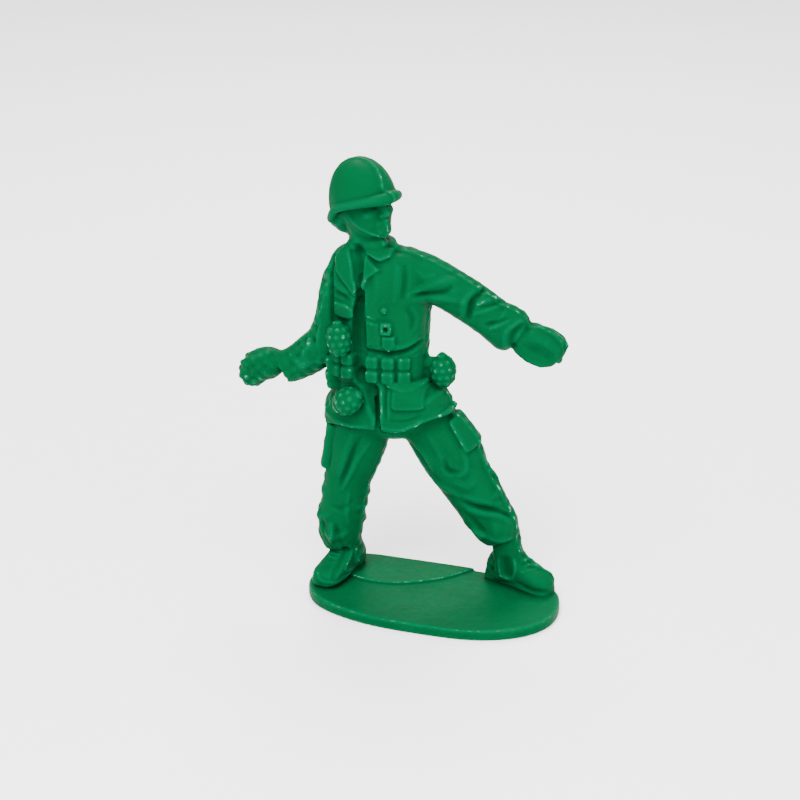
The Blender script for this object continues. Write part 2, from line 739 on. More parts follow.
LAPEL_RIGHT = (
    (-11.4, 44.1), (-12.6, 42.5), (-12.2, 40.8), (-10.5, 39.3), (-9.3, 38.1), (-9.1, 39.0),
    (-9.8, 41.6), (-11.1, 43.9),
)
LAPEL_LEFT = ((-8.6, 43.1), (-7.6, 42.3), (-6.5, 41.6), (-7.8, 40.6), (-8.45, 38.7), (-8.8, 40.4))
COLLAR_LEFT = ((-8.6, 43.9), (-8.6, 43.2), (-7.1, 42.6), (-6.6, 42.5), (-5.5, 43.0), (-5.7, 43.8))
CHEST_POCKET = ((-8.2, 32.3), (-8.2, 35.2), (-6.4, 35.2), (-6.2, 33.0), (-6.4, 32.4))
CHEST_FLAP = ((-13.8, 35.5), (-13.8, 37.2), (-10.6, 37.1), (-9.6, 36.6), (-9.5, 35.6), (-10.4, 35.3))
# Grooves and ridges in X and Z: points, radius, rise, share of the rise left at the ends
JACKET_LINES = (
    ((-9.8, 43.5, -9.3, 42.0, -9.0, 40.4), 0.6, -0.45, 0.7),
    ((-8.9, 40.6, -8.85, 39.4, -8.8, 37.9), 0.35, -0.4, 0.9),
    ((-8.8, 38.6, -8.8, 37.0, -8.75, 34.0, -8.75, 31.0, -8.65, 27.8), 0.62, -0.78, 0.8),
    ((-9.0, 37.6, -9.2, 36.0, -9.35, 33.0, -9.3, 30.0, -9.0, 27.8), 0.62, -0.78, 0.6),
    ((-8.9, 28.6, -8.1, 27.3, -7.3, 25.7, -6.8, 24.0), 0.68, -0.78, 0.6),
    ((-7.6, 27.7, -7.0, 26.4, -6.7, 24.6), 0.5, -0.6, 0.5),
    ((-7.0, 25.4, -6.6, 23.6, -6.4, 21.2), 0.42, -0.65, 0.7),
    ((-8.15, 37.6, -8.2, 34.5, -8.15, 32.4), 0.25, 0.12, 0.5),
    ((-8.2, 31.6, -5.0, 31.5, -3.2, 31.9, -2.1, 32.6), 0.36, -0.42, 0.6),
    ((-8.1, 32.2, -6.4, 32.1, -4.4, 32.2), 0.35, 0.14, 0.3),
    ((-5.9, 32.3, -4.2, 32.25, -3.0, 32.7, -2.4, 33.2), 0.35, 0.2, 0.3),
    ((-3.9, 42.2, -3.6, 40.4, -3.7, 38.4), 0.5, -0.22, 0.1),
    ((-4.7, 42.0, -4.5, 40.2, -4.6, 38.0), 0.6, 0.16, 0.1),
    ((-3.3, 37.2, -2.7, 35.8, -2.9, 34.4), 0.5, -0.2, 0.1),
    ((-2.6, 41.4, -1.5, 40.7, -0.6, 40.9), 0.5, 0.18, 0.1),
    ((-8.2, 35.95, -7.5, 35.85, -6.9, 35.6), 0.22, 0.14, 0.3),
    ((-8.2, 35.35, -7.6, 35.2, -7.1, 35.0), 0.22, 0.12, 0.3),
    ((-12.2, 38.2, -11.2, 38.1, -10.1, 37.5), 0.4, -0.25, 0.2),
    ((-12.4, 39.4, -11.6, 38.9, -10.6, 38.6), 0.45, 0.2, 0.2),
    ((-12.4, 35.2, -11.4, 35.0, -10.2, 35.1), 0.3, -0.2, 0.3),
    ((-13.2, 42.0, -12.9, 39.5, -12.8, 37.0, -12.7, 34.6), 0.36, -0.42, 0.6),
    ((-6.9, 41.0, -6.6, 39.6, -6.8, 38.2), 0.6, 0.1, 0.1),
)
SKIRT_LINES = (
    ((-5.85, 22.35, -4.0, 22.2, -2.4, 22.7, -0.9, 23.5, 0.6, 24.6), 0.3, 0.16, 0.6),
    ((-14.6, 23.0, -12.6, 22.2, -10.0, 21.95, -7.6, 22.3), 0.3, 0.16, 0.6),
    ((-6.2, 27.2, -6.1, 25.4, -6.0, 22.8), 0.3, 0.16, 0.5),
    ((-5.1, 27.2, -5.2, 25.4, -5.1, 23.6), 0.3, 0.14, 0.4),
    ((-5.65, 27.2, -5.65, 25.4, -5.5, 23.4), 0.22, -0.16, 0.4),
    ((-7.9, 24.6, -7.2, 23.4, -6.9, 22.4), 0.4, 0.2, 0.3),
    ((0.1, 26.4, -0.6, 25.8, -1.0, 25.4), 0.4, 0.18, 0.2),
    ((-4.9, 23.3, -3.0, 23.35, -1.2, 24.1), 0.25, -0.12, 0.3),
)
# The same on the back
BACK_LINES = (
    ((-8.4, 42.4, -8.3, 38.0, -8.2, 33.0), 0.3, -0.12, 0.6),
    ((-12.6, 40.6, -10.6, 38.8, -9.2, 38.4), 0.5, 0.2, 0.1),
    ((-4.0, 40.4, -5.6, 38.6, -7.2, 38.0), 0.5, 0.2, 0.1),
    ((-3.2, 38.4, -4.6, 36.6, -6.6, 36.0), 0.5, 0.18, 0.1),
    ((-12.8, 37.6, -11.2, 36.2, -9.6, 35.6), 0.5, 0.18, 0.1),
    ((-12.6, 33.8, -10.4, 32.7, -8.8, 32.9), 0.5, 0.2, 0.1),
    ((-3.4, 34.0, -5.0, 32.8, -7.2, 32.6), 0.5, 0.2, 0.1),
    ((-12.4, 32.2, -8.2, 31.5, -3.4, 32.0), 0.3, -0.25, 0.6),
    ((-8.2, 26.6, -8.1, 24.4, -8.0, 22.2), 0.3, -0.22, 0.5),
    ((-12.2, 26.6, -13.0, 24.4, -13.4, 22.6), 0.6, 0.22, 0.1),
    ((-4.2, 26.6, -3.0, 24.8, -2.2, 23.6), 0.6, 0.22, 0.1),
    ((-10.2, 26.4, -10.4, 24.6, -10.6, 23.0), 0.5, -0.14, 0.1),
    ((-0.4, 40.2, 0.6, 38.6, 0.4, 37.2), 0.5, 0.22, 0.1),
    ((2.4, 38.8, 3.2, 37.4, 2.6, 36.2), 0.5, 0.22, 0.1),
    ((5.0, 37.0, 5.4, 35.8, 4.8, 34.6), 0.45, 0.22, 0.1),
    ((-13.0, 36.6, -14.2, 35.2, -15.0, 33.8), 0.45, 0.2, 0.1),
    ((-13.4, 33.4, -14.8, 32.2, -16.2, 31.2), 0.45, 0.22, 0.1),
)
# Sleeves, in X and Z on their front: armpit folds, the elbow crease, the forearm and the cuff
SLEEVE_LINES = (
    ((-3.2, 38.5, -1.6, 39.5, 0.2, 40.2, 1.7, 40.4), 0.55, 0.3, 0.2),
    ((-2.8, 38.7, -1.2, 38.6, 0.5, 39.0, 1.5, 39.7), 0.42, -0.32, 0.2),
    ((-3.0, 38.0, -0.6, 38.1, 1.4, 38.1, 3.0, 38.0), 0.5, 0.26, 0.2),
    ((4.7, 39.2, 4.0, 38.5, 3.7, 37.4, 3.3, 35.9), 0.5, -0.45, 0.5),
    ((4.0, 39.0, 3.1, 38.3, 2.8, 37.2, 2.6, 36.1), 0.5, 0.3, 0.4),
    ((4.4, 37.6, 5.0, 37.9, 6.1, 38.1), 0.35, 0.22, 0.1),
    ((4.5, 37.2, 5.6, 37.4, 6.7, 37.7), 0.3, -0.18, 0.1),
    ((4.1, 36.5, 5.2, 36.9, 6.4, 37.3), 0.4, 0.2, 0.1),
    ((5.3, 35.3, 7.0, 35.7, 8.1, 36.2), 0.35, -0.24, 0.1),
    ((5.7, 34.7, 7.0, 35.3, 8.2, 35.9), 0.35, 0.22, 0.1),
    ((9.3, 35.7, 8.4, 35.2, 7.8, 34.4, 7.7, 32.9), 0.42, 0.26, 0.6),
    ((9.5, 35.2, 8.8, 34.3, 8.5, 32.8), 0.42, -0.35, 0.5),
    ((9.9, 32.8, 11.3, 32.2, 12.7, 31.5), 0.95, -0.38, 0.1),
    ((-15.6, 31.6, -16.0, 30.4, -15.6, 29.0), 0.45, 0.16, 0.1),
    ((-14.6, 33.6, -15.2, 31.8, -14.6, 30.2), 0.45, -0.18, 0.1),
    ((-14.2, 38.6, -14.6, 37.4, -14.9, 36.0), 0.5, 0.2, 0.1),
    ((-14.4, 35.6, -14.9, 34.6, -15.4, 33.8), 0.5, 0.2, 0.1),
)


def jacket():
    skirt_field = skirt()
    put(plate(SKIRT_POCKET, skirt_field, 0.34), "skirt_pocket_left", 0.12)
    put(plate(SKIRT_FLAP, skirt_field, 0.5), "skirt_flap_left", 0.2)
    belt = upright(BELT)
    put(belt, "web_belt", 0.15)
    torso = upright(TORSO)
    put(torso, "jacket_torso", 0.25)
    put(plate(LAPEL_RIGHT, torso, 0.45), "lapel_right", 0.12)
    put(plate(LAPEL_LEFT, torso, 0.42), "lapel_left", 0.12)
    put(plate(COLLAR_LEFT, torso, 0.5), "collar", 0.15)
    put(plate(CHEST_POCKET, torso, 0.2), "chest_pocket_left", 0.15)
    put(plate(CHEST_FLAP, torso, 0.45), "chest_flap_right", 0.2)
    return torso, belt


def jacket_details():
    for points, radius, rise, ends in JACKET_LINES + SKIRT_LINES + SLEEVE_LINES:
        stroke(points, radius, rise, ends=ends)
    for points, radius, rise, ends in BACK_LINES:
        stroke(points, radius, rise, behind, ends=ends)


COLLAR_CENTRE = Vector((-9.0, 3.1, 43.5))
COLLAR_RADIUS = (2.45, 2.3)
COLLAR_OPEN = 42.0  # degrees from the front to each end
COLLAR_STEPS = 32


def collar():
    points = []
    for k in range(COLLAR_STEPS + 1):
        turn = math.radians(COLLAR_OPEN + (360.0 - 2 * COLLAR_OPEN) * k / COLLAR_STEPS)
        out = Vector((math.sin(turn) * COLLAR_RADIUS[0], -math.cos(turn) * COLLAR_RADIUS[1], 0.35))
        points.append(COLLAR_CENTRE + out)
    made = rod(points, 0.36)
    made.join(rod([p - UP * 0.5 for p in points], 0.5), 0.5)
    put(made, "collar", 0.2)


# Arms

SLEEVE_LEFT = (
    (-5.6, 41.1, 2.4, 2.4), (-3.0, 40.05, 2.65, 2.6), (0.0, 38.75, 2.45, 2.5), (3.25, 36.85, 2.4, 2.4),
    (5.8, 35.1, 2.35, 2.3), (7.4, 33.95, 2.25, 2.25),
)
SLEEVE_RIGHT = (
    (-11.0, 40.9, 1.8, 2.1), (-12.5, 39.2, 2.3, 2.4), (-13.2, 36.4, 2.25, 2.4), (-13.7, 33.6, 2.3, 2.4),
    (-14.7, 31.1, 2.35, 2.3), (-16.2, 29.5, 2.4, 2.2), (-18.0, 28.15, 2.2, 1.95), (-19.7, 27.35, 2.0, 1.8),
)
# Centre, half sizes and turn
HAND_LEFT = (on_limb_plane(11.1, 32.4), (2.9, 2.1, 2.25), turned_axes(yaw=10.0, roll=22.0))
HAND_RIGHT = (on_limb_plane(-22.15, 27.6), (2.8, 2.05, 2.05), turned_axes(yaw=10.0, roll=-16.0))
CUFF_PATH = ((6.0, 35.15, 2.3, 2.3), (7.1, 34.35, 2.6, 2.5), (8.0, 33.65, 2.5, 2.4), (8.5, 33.25, 2.0, 2.0))


def arms():
    put(limb(SLEEVE_LEFT), "sleeve_left", 0.6)
    put(limb(CUFF_PATH), "cuff_left", 0.5)
    put(limb(SLEEVE_RIGHT), "sleeve_right", 0.35)


def with_room(field, room):
    return Field(field.first * STEP - room, field.last * STEP + room).join(field)


def palm(centre, half, turn):
    """The hand's body, and the place of a point in its own axes."""
    return with_room(ellipsoid(centre, half, turn), 1.2), lambda *p: centre + turn @ Vector(p)


def hands():
    hand, at = palm(*HAND_LEFT)
    hand.join(rod([at(-3.2, 0.1, 0.1), at(-1.5, 0.0, 0.0)], [1.75, 1.9]), 0.6)
    # The thumb lies folded along the palm's lower edge
    hand.join(rod([at(-2.0, -0.9, -1.35), at(-0.6, -1.3, -1.7), at(1.0, -1.2, -1.7), at(1.9, -0.9, -1.3)],
                  [0.4, 0.42, 0.4, 0.3]), 0.7)
    hand.join(rod([at(-1.2, -1.2, 1.1), at(0.6, -1.45, 1.1), at(1.9, -1.0, 0.7), at(2.3, -0.8, -0.4)],
                  [0.35, 0.42, 0.4, 0.35]), 0.7)
    for k in range(4):
        z = 1.35 - 0.85 * k
        hand.join(rod([at(0.4, 1.6, z), at(1.9, 1.25, z * 0.9), at(2.55, 0.2, z * 0.8)], 0.5), 0.3)
    put(hand, "hand_left", 0.3)
    hand, at = palm(*HAND_RIGHT)
    for k in range(4):
        z = 1.2 - 0.72 * k
        hand.join(rod([at(0.6, 1.4, z), at(-0.8, 1.6, z), at(-2.2, 1.2, z * 0.9)], 0.42), 0.25)
    hand.join(rod([at(0.9, -1.0, 1.1), at(-0.6, -1.5, 1.1), at(-2.2, -1.2, 1.1)], [0.5, 0.5, 0.4]), 0.5)
    put(hand, "hand_right", 0.3)


# Grenades

GRENADE_HALF = Vector((1.6, 1.55, 2.15))
HELD_GRENADE_HALF = Vector((1.9, 1.8, 2.1))
BELT_GRENADE_HALF = Vector((1.7, 1.6, 2.25))
GRENADES = {
    "held_grenade": (on_limb_plane(-23.5, 26.6), turned_axes(roll=-150.0), HELD_GRENADE_HALF),
    "chest_grenade": (Vector((-11.35, -1.35, 32.8)), turned_axes(yaw=-25.0, roll=-8.0), GRENADE_HALF),
    "belt_grenade": (Vector((-10.1, -1.75, 25.3)), turned_axes(yaw=-15.0, roll=55.0), BELT_GRENADE_HALF),
    "hip_grenade": (Vector((-0.1, 3.7, 28.65)), turned_axes(yaw=60.0, roll=-6.0), GRENADE_HALF),
}
KNOB = 0.52  # radius
KNOB_SINK = 0.32
KNOB_RISE = 0.17
KNOB_ROWS = ((-64, 4), (-38, 8), (-12, 10), (14, 10), (40, 8))  # degrees up the body, and how many


def grenade(name):
    """A body covered in rounded knobs, in rows round its long axis."""
    centre, turn, half = GRENADES[name]
    core = [h - KNOB_RISE for h in half]
    made = with_room(ellipsoid(centre, core, turn), 0.6)
    for row, (tilt, count) in enumerate(KNOB_ROWS):
        tilt = math.radians(tilt)
        for k in range(count):
            around = math.tau * (k + 0.5 * (row % 2)) / count
            flat = math.cos(tilt)
            way = Vector((math.cos(around) * flat, math.sin(around) * flat, math.sin(tilt)))
            point = Vector([w * c for w, c in zip(way, core)])
            out = Vector([w / c for w, c in zip(way, core)]).normalized()
            made.join(ellipsoid(centre + turn @ (point - out * KNOB_SINK), (KNOB,) * 3, turn, 0.4), 0.06)
    top = centre + turn @ Vector((0, 0, half.z * 0.92))
    made.join(ellipsoid(top, (0.55, 0.55, 0.3), turn, 0.4), 0.15)
    put(made, name, 0.15)


HANGER = ((-2.4, 3.4, 29.6), (-1.0, 3.6, 29.4))


def hanger():
    """The loop that joins the hip grenade to the belt."""
    strap = rod(HANGER, (0.8, 0.7))
    for drop, thin in ((2.0, 0.6), (1.0, 0.7)):
        strap.join(rod([(x, y, z - drop) for x, y, z in HANGER], (0.8, thin)), 0.3)
    put(strap, "hip_grenade", 0.3)


def side_pouch():
    turn = turned_axes(yaw=-60.0)
    pouch = block((-12.9, 0.6, 28.0), (1.7, 1.7, 4.2), turn, 0.4)
    for z in (29.4, 27.6):
        pouch.join(block((-13.0, 0.5, z), (1.75, 1.8, 1.3), turn, 0.35), 0.1)
    put(pouch, "side_pouch_right", 0.2)


TAB = ((-6.05, 33.65), (-6.05, 32.3), (-5.3, 31.65), (-4.55, 32.3), (-4.55, 33.65))


def chest_fittings(torso):
    point, out = front(-5.75, 36.9, torso)
    put(ellipsoid(point, (0.42, 0.5, 0.42), facing(out), 0.5), "chest_stud", 0.12)
    point, out = front(-5.6, 34.6, torso)
    buckle = block(point, (1.35, 1.0, 1.55), facing(out), 0.22, 0.5)
    buckle.cut(block(point + out * 0.5, (0.55, 1.0, 0.6), facing(out), 0.15, 0.5), 0.12)
    put(buckle, "chest_buckle", 0.1)
    put(plate(TAB, torso, 0.42), "chest_tab", 0.08)


# Head and helmet, in their own axes: the face looks along -Y before the head turns

HELMET_TILT = 20.0
HEAD_YAW = 63.0
HEAD_CENTRE = Vector((-9.85, 2.8, 48.0))
HEAD_TURN = turned_axes(yaw=HEAD_YAW, pitch=-HELMET_TILT)
# Stations from the chin up: y, z, half width, half depth. The head is half as tall again as it is wide,
# the eyes are halfway up, and the nose ends halfway from the brow to the chin.
HEAD = (
    (-1.2, -3.8, 0.8, 0.8), (-0.9, -3.25, 1.6, 1.8), (-0.5, -1.8, 2.3, 2.7), (-0.3, 0.0, 2.5, 3.1),
    (0.0, 1.6, 2.4, 2.9), (0.0, 3.0, 1.8, 2.1), (0.0, 3.7, 0.7, 0.8),
)
HELMET_HALF = (3.75, 4.4, 5.55)
HELMET_BASE = 0.5
HELMET_ROWS = 40
DOME_POWER = 2.3  # 2 is an ellipse, and more is fuller
RIM_RADIUS = 0.5
VISOR_REACH = 0.2
VISOR_THICK = 0.22
VISOR_SPREAD = 0.6
NAPE_DROP = 1.7
NAPE_PULL = 0.35  # how far the dome draws in towards its edge behind
NAPE_ROUND = 0.35  # the share of its height over which it does
SIDE_LIFT = 0.45  # how the edge arches over the ears
BROW_LIFT = 0.2
# Half of the chin strap from the ear to the chin
STRAP = ((2.6, 0.2, 0.2), (2.45, -0.6, -1.3), (1.9, -1.6, -2.6), (1.0, -2.45, -3.5), (0, -2.75, -3.75))
STRAP_RADIUS = 0.15
NECK = ((-9.2, 3.0, 42.8, 2.1, 2.0), (-9.5, 3.0, 44.6, 2.3, 2.1), (-9.8, 3.1, 46.6, 2.5, 2.4))
THROAT = (-7.9, 1.5, 44.1)
COLLAR_BACK = ((-8.0, 3.2, 43.2), (-6.9, 3.2, 42.8), (-5.6, 3.4, 42.0))


def head_point(x, y, z):
    return HEAD_TURN @ Vector((x, y, z)) + HEAD_CENTRE


def head():
    put(upright(NECK), "neck", 0.2)
    put(ellipsoid(THROAT, (1.5, 1.2, 1.0)), "neck", 0.5)
    put(rod(COLLAR_BACK, (1.2, 1.3, 1.1)), "jacket_torso", 0.7)
    rings = []
    for y, z, half_width, half_depth in curve_rows(HEAD, ROWS):
        flat = ring((0, y, z), (1, 0, 0), (0, 1, 0), half_width, half_depth, 2.2)
        rings.append([tuple(head_point(*p)) for p in flat])
    face = skin(rings)
    ball = lambda place, half, reach=0.6: ellipsoid(head_point(*place), half, HEAD_TURN, reach)
    bar = lambda points, radii: rod([head_point(*p) for p in points], radii, 0.6)
    for s in (-1, 1):
        face.cut(ball((0.95 * s, -3.3, 0.0), (0.62, 0.5, 0.42)), 0.3)
        face.join(ball((0.95 * s, -2.75, -0.02), (0.46, 0.34, 0.28)), 0.08)
        face.join(bar([(0.35 * s, -3.15, 0.55), (1.0 * s, -3.12, 0.62), (1.75 * s, -2.6, 0.4)],
                      [0.22, 0.26, 0.2]), 0.25)
        face.join(ball((1.45 * s, -2.45, -0.95), (0.65, 0.5, 0.5)), 0.5)
        face.join(ball((0.36 * s, -3.4, -1.42), (0.26, 0.3, 0.22)), 0.12)
        face.join(ball((2.45 * s, 0.1, -0.5), (0.3, 0.55, 0.9)), 0.25)
    face.join(bar([(0, -3.15, 0.45), (0, -3.5, -0.4), (0, -3.72, -1.25)], [0.22, 0.27, 0.36]), 0.25)
    face.join(ball((0, -2.9, -2.25), (0.95, 0.42, 0.55)), 0.4)
    face.join(bar([(-0.62, -3.05, -2.22), (-0.2, -3.28, -2.13), (0.2, -3.28, -2.13), (0.62, -3.05, -2.22)],
                  0.15), 0.12)
    face.join(bar([(-0.55, -3.0, -2.48), (0.0, -3.24, -2.56), (0.55, -3.0, -2.48)], 0.17), 0.12)
    face.join(ball((0, -2.65, -3.15), (0.95, 0.62, 0.6)), 0.45)
    face.join(ball((0, 1.2, -0.1), (3.0, 2.9, 1.2), 0.8), 0.5)
    face.join(ball((0, 2.5, -0.9), (2.9, 1.8, 1.9), 0.8), 0.6)  # the hair under the helmet's back edge
    put(face, "head", 0.35)


def rim_point(angle, out=0.0):
    """The helmet's edge at this angle from the front: a visor in front, a drop at the nape."""
    half_width, half_depth, _ = HELMET_HALF
    ahead = math.cos(angle)
    reach = VISOR_REACH * max(ahead, 0.0) ** 3
    x = math.sin(angle) * (half_width + out)
    y = -ahead * (half_depth + out) - reach
    y -= NAPE_PULL * max(-ahead, 0.0) ** 2
    z = HELMET_BASE - NAPE_DROP * max(-ahead, 0.0) ** 1.3 + BROW_LIFT * max(ahead, 0.0) ** 2
    z += SIDE_LIFT * (1 - ahead**2)
    return Vector((x, y, z))


def helmet():
    rings = []
    for row in range(HELMET_ROWS):
        lift = row / (HELMET_ROWS - 0.5)
        width = math.sqrt(1 - lift**DOME_POWER)
        one = []
        for k in range(SIDES):
            edge = rim_point(math.tau * k / SIDES)
            edge.y += VISOR_SPREAD * lift * max(-edge.y, 0.0) / HELMET_HALF[1]
            bulge = NAPE_PULL * math.sin(math.pi / 2 * min(lift / NAPE_ROUND, 1.0))
            edge.y += bulge * max(edge.y / HELMET_HALF[1], 0.0)
            height = edge.z + (HELMET_HALF[2] + HELMET_BASE - edge.z) * lift
            one.append(tuple(head_point(edge.x * width, edge.y * width, height)))
        rings.append(one)
    put(skin(rings), "helmet_shell", 0.1)
    path, radii = [], []
    for k in range(SIDES + 1):
        angle = math.tau * k / SIDES
        point = rim_point(angle, 0.05)
        radii.append(RIM_RADIUS + VISOR_THICK * max(math.cos(angle), 0.0) ** 4)
        point.z -= 0.3
        path.append(head_point(*point))
    put(rod(path, radii), "helmet_rim", 0.22)
    for s in (-1, 1):
        points = curve_rows([(s * x, y, z) for x, y, z in STRAP], 4)
        whole.join(rod([head_point(*p) for p in points], STRAP_RADIUS), 0.3)


def blurred(values, passes):
    """A small blur that keeps the grid's outer layer."""
    for _ in range(passes):
        for axis in range(3):
            near = [slice(None)] * 3
            before = [slice(None)] * 3
            after = [slice(None)] * 3
            near[axis], before[axis], after[axis] = slice(1, -1), slice(None, -2), slice(2, None)
            mixed = 0.5 * values[tuple(near)] + 0.25 * (values[tuple(before)] + values[tuple(after)])
            values = values.copy()
            values[tuple(near)] = mixed
    return values


# The mould's parting line: the rear half sits a little off the front half and is rougher

SLIP = 1  # grid steps that the rear half sits off
ROUGHNESS = 0.04
LUMPS = 3.0  # radians a millimetre
LUMP_HEIGHT = 0.1
LUMP_BAND = 1.9  # how far behind the line they reach
FLASH = 0.11  # how far the line stands out
FLASH_WIDTH = 0.17
FEET_TOP = 2.2  # the line starts above the base


def parting(x, z):
    """How deep the parting sheet lies."""
    sheet = 3.6 + 0.2 * x
    arm = np.clip((-11.5 - x) / 1.5, 0, 1) * np.clip((z - 22) / 3, 0, 1)
    head = np.clip(2.6 - 0.75 * (53.6 - z), 0.9, 2.8)
    return np.where(z > 44.2, head + 0 * x, sheet - 0.9 * arm)


def mould_marks():
    x, y, z = whole.axes()
    depth = y - parting(x, z)
    above = np.clip((z - FEET_TOP) / 0.6, 0, 1)
    rear = np.clip(depth / 0.25 + 0.5, 0, 1) * above
    shifted = np.roll(whole.d, (SLIP, 0, SLIP), (0, 1, 2))
    whole.d = (whole.d * (1 - rear) + shifted * rear).astype(np.float32)
    random = np.random.default_rng(7)
    rough = blurred(random.standard_normal(whole.d.shape, np.float32), 1)
    whole.d += ROUGHNESS * rough * rear
    # Ragged only just behind the line, and hardly at all on the helmet
    ragged = rear * np.exp(-(depth / LUMP_BAND) ** 2) * np.clip((46 - z) / 4, 0.15, 1)
    for _ in range(3):
        a, b, c, d, e, f = random.uniform(0.6, 1.4, 6)
        waves = (np.sin(LUMPS * a * x + 9 * d) * np.sin(LUMPS * b * y + 9 * e)
                 * np.sin(LUMPS * c * z + 9 * f))
        whole.d += (LUMP_HEIGHT * waves * ragged).astype(np.float32)
    whole.d -= (FLASH * np.exp(-(depth / FLASH_WIDTH) ** 2) * above).astype(np.float32)


def build():
    base()
    trousers()
    boot("right")
    boot("left")
    leg_details()
    cargo_pockets()
    torso, belt = jacket()
    arms()
    hands()
    head()
    jacket_details()
    belt_pouches(belt)
    collar()
    side_pouch()
    hanger()
    for name in GRENADES:
        grenade(name)
    chest_fittings(torso)
    helmet()
    mould_marks()


build()


# The skin, cut up into one piece for each node

SOFT_PASSES = 3
WIDE_PASSES = 14
CONE_DEPTHS = (0.35, 0.6, 0.9, 1.3, 1.8, 2.5)


def skin_of_whole():
    grid = vdb.FloatGrid(BAND)
    grid.transform = vdb.createLinearTransform(voxelSize=STEP)
    x, y, z = whole.axes()
    values = blurred(whole.d, 1)
    values = np.maximum(values, -z).astype(np.float32)
    values = np.where(values >= BAND - 0.01, BAND, values)
    grid.copyFromArray(values, ijk=tuple(int(i) for i in whole.first))
    points, quads = grid.convertToQuads(0.0)
    a, b, c = points[quads[:, 0]], points[quads[:, 1]], points[quads[:, 2]]
    if np.einsum("ij,ij->i", a, np.cross(b, c)).sum() < 0:
        quads = quads[:, ::-1]
    return points.astype(float), quads.astype(int)


def only_main(points, quads):
    """Drops any speck that isn't joined to the figure."""
    label = np.arange(len(points))
    while True:
        least = label[quads].min(1)
        before = label.copy()
        for k in range(4):
            np.minimum.at(label, quads[:, k], least)
        label = label[label]
        if (label == before).all():
            break
    main = np.bincount(label[quads[:, 0]]).argmax()
    quads = quads[label[quads[:, 0]] == main]
    used, index = np.unique(quads, return_inverse=True)
    return points[used], index.reshape(quads.shape)


def vertex_normals(points, quads):
    ahead = points[quads[:, 2]] - points[quads[:, 0]]
    aside = points[quads[:, 3]] - points[quads[:, 1]]
    face = np.cross(ahead, aside)
    total = np.zeros_like(points)
    for k in range(4):
        for axis in range(3):
            total[:, axis] += np.bincount(quads[:, k], face[:, axis], len(points))
    return total / np.maximum(np.linalg.norm(total, axis=1), 1e-9)[:, None]


def face_owners(points, quads, passes=4):
    """The node that each face belongs to, with ragged edges evened out."""
    middle = points[quads].mean(1)
    at = np.clip(np.rint(middle / STEP).astype(int) - whole.first, 0, np.array(whole.d.shape) - 1)
    label = owner[at[:, 0], at[:, 1], at[:, 2]].astype(int)
    count = len(NAMES)
    for _ in range(passes):
        votes = np.zeros((len(points), count), np.float32)
        for k in range(4):
            np.add.at(votes, (quads[:, k], label), 1.0)
        label = votes[quads].sum(1).argmax(1)
    return label


def simple_loops(edges):
    """Boundary edges walked into loops that pass each point once."""
    follow = {}
    for a, b in edges:
        follow.setdefault(int(a), []).append(int(b))
    loops = []
    while follow:
        start = next(iter(follow))
        path, place = [start], {start: 0}
        while True:
            ends = follow[path[-1]]
            after = ends.pop()
            if not ends:
                del follow[path[-1]]
            if after in place:
                k = place[after]
                loops.append(path[k:])
                for gone in path[k + 1:]:
                    del place[gone]
                path = path[:k + 1]
                if path[-1] not in follow:
                    break
            else:
                place[after] = len(path)
                path.append(after)
    return loops


def inner_point(loop_points, loop_normals):
    """A point inside the figure that closes a loop with a cone, if such a cone stays inside."""
    middle = loop_points.mean(0)
    out = loop_normals.mean(0)
    radius = np.linalg.norm(loop_points - middle, axis=1).mean()
    best = None
    for depth in CONE_DEPTHS:
        apex = middle - out * (depth * min(radius, 1.2) + 0.15)
        between = np.concatenate([loop_points * (1 - t) + apex * t for t in (0.15, 0.3, 0.5, 0.7, 0.9)])
        worst = float(sample(whole, between).max())
        if best is None or worst < best[0]:
            best = (worst, apex)
        if worst < -0.01:
            break
    return best[1] if best[0] < 0.02 else None


def as_mesh(name, points, quads, normals, marks):
    """A mesh object in metres of quads and triangles (a quad with -1 last is a triangle)."""
    sizes = np.where(quads[:, 3] < 0, 3, 4).astype(np.int32)
    corners = quads.reshape(-1)
    corners = corners[corners >= 0].astype(np.int32)
    mesh = bpy.data.meshes.new(name)
    mesh.vertices.add(len(points))
    mesh.vertices.foreach_set("co", (points * MM).astype(np.float32).ravel())
    mesh.loops.add(len(corners))
    mesh.loops.foreach_set("vertex_index", corners)
    mesh.polygons.add(len(sizes))
    starts = np.concatenate([[0], np.cumsum(sizes)[:-1]]).astype(np.int32)
    mesh.polygons.foreach_set("loop_start", starts)
    mesh.update(calc_edges=True)
    mesh.validate()
    mesh.shade_smooth()
    for key, values in marks.items():
        mesh.attributes.new(key, "FLOAT", "POINT").data.foreach_set("value", values.astype(np.float32))
    mesh.normals_split_custom_set_from_vertices(normals.astype(np.float32))
    made = bpy.data.objects.new(name, mesh)
    bpy.context.scene.collection.objects.link(made)
    return made


